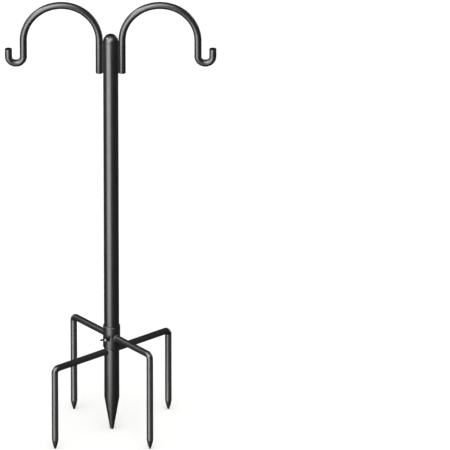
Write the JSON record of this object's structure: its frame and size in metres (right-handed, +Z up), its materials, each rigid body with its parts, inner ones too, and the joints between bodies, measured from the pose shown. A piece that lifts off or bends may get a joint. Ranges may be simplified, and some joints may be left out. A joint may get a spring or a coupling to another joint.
{
  "type": "hanging plant stand",
  "caption": "Black steel plant stand: round pole with a shepherd hook on each side, on a ground spike with fixed and folding prongs.",
  "frame": {"origin": "on the pole's axis, level with the tips of the spike and prongs", "axes": "+Z up the pole, hooks spread along X, +Y away from the front"},
  "size_m": [0.3516, 0.167, 0.782],
  "materials": {
    "black_coat": "semi-gloss black powder coat on steel",
    "coated_weld": "same coat over a weld bead",
    "black_zinc": "black zinc plating on a cast wing head",
    "bare_steel": "zinc-plated steel"
  },
  "bodies": {
    "base": {"spike_tube": "black_coat", "spike_point": "black_coat", "lower_prong_rear": "black_coat", "lower_prong_front": "black_coat", "lower_prong_weld_rear": "coated_weld", "lower_prong_weld_front": "coated_weld"},
    "collar": {"collar_sleeve": "black_coat", "collar_boss": "black_coat", "upper_prong_rear": "black_coat", "upper_prong_front": "black_coat", "upper_prong_weld_rear": "coated_weld", "upper_prong_weld_front": "coated_weld"},
    "screw_shank": {"wing_screw_shank": "bare_steel"},
    "screw_head": {"wing_screw_head": "black_zinc"},
    "coupling": {"coupling_tube": "bare_steel"},
    "pole": {"main_pole": "black_coat", "dome_cap": "black_coat", "left_hook": "black_coat", "right_hook": "black_coat", "left_hook_weld_front": "coated_weld", "left_hook_weld_rear": "coated_weld", "right_hook_weld_front": "coated_weld", "right_hook_weld_rear": "coated_weld"}
  },
  "joints": [
    {"name": "prong_fold", "type": "hinge", "parent": "base", "child": "collar", "pos_m": [0, 0, 0.17235], "axis": [0, 0, 1], "range_deg": [-83, 83]},
    {"name": "screw_travel", "type": "slide", "parent": "collar", "child": "screw_shank", "axis": [-0.5, -0.866, 0], "range_m": [0, 0.004]},
    {"name": "screw_turn", "type": "hinge", "parent": "screw_shank", "child": "screw_head", "pos_m": [-0.00875, -0.01516, 0.17235], "axis": [-0.5, -0.866, 0], "range_deg": [0, 1440]},
    {"name": "pole_swivel", "type": "hinge", "parent": "base", "child": "coupling", "pos_m": [0, 0, 0.17235], "axis": [0, 0, 1], "continuous": true},
    {"name": "pole_lift", "type": "slide", "parent": "coupling", "child": "pole", "axis": [0, 0, 1], "range_m": [0, 0.06]}
  ],
  "couplings": [
    {"joint": "screw_turn", "follows": "screw_travel", "rad_per_m": 6283.2}
  ]
}
